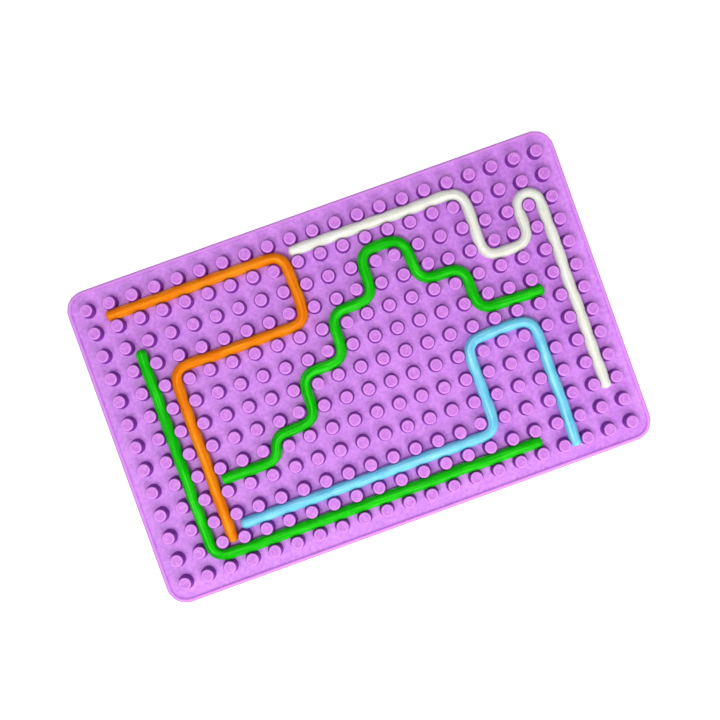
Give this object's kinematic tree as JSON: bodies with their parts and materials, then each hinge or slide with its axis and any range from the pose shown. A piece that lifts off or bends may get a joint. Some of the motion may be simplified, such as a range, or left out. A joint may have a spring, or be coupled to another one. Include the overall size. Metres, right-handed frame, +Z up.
{
  "type": "peg board string toy",
  "caption": "Flat silicone peg board with bendable strings pressed into the channels between its pegs to draw lines.",
  "frame": {"origin": "middle of the board's underside", "axes": "+X along the long side, +Y along the short side, +Z up out of the pegs"},
  "size_m": [0.205, 0.131, 0.008],
  "materials": {
    "purple_silicone": "matte silicone",
    "orange_silicone": "satin silicone",
    "green_silicone": "satin silicone",
    "white_silicone": "satin silicone",
    "blue_silicone": "satin silicone"
  },
  "bodies": {
    "pegboard": {"pegboard": "purple_silicone"},
    "orange_string": {"orange_string": "orange_silicone"},
    "green_corner_string": {"green_corner_string": "green_silicone"},
    "white_string": {"white_string": "white_silicone"},
    "blue_string": {"blue_string": "blue_silicone"},
    "green_stair_string": {"green_stair_string": "green_silicone"}
  },
  "joints": [
    {"name": "orange_lift", "type": "slide", "parent": "pegboard", "child": "orange_string", "axis": [0, 0, 1], "range_m": [0, 0.03]},
    {"name": "green_corner_lift", "type": "slide", "parent": "pegboard", "child": "green_corner_string", "axis": [0, 0, 1], "range_m": [0, 0.03]},
    {"name": "white_lift", "type": "slide", "parent": "pegboard", "child": "white_string", "axis": [0, 0, 1], "range_m": [0, 0.03]},
    {"name": "blue_lift", "type": "slide", "parent": "pegboard", "child": "blue_string", "axis": [0, 0, 1], "range_m": [0, 0.03]},
    {"name": "green_stair_lift", "type": "slide", "parent": "pegboard", "child": "green_stair_string", "axis": [0, 0, 1], "range_m": [0, 0.03]}
  ]
}
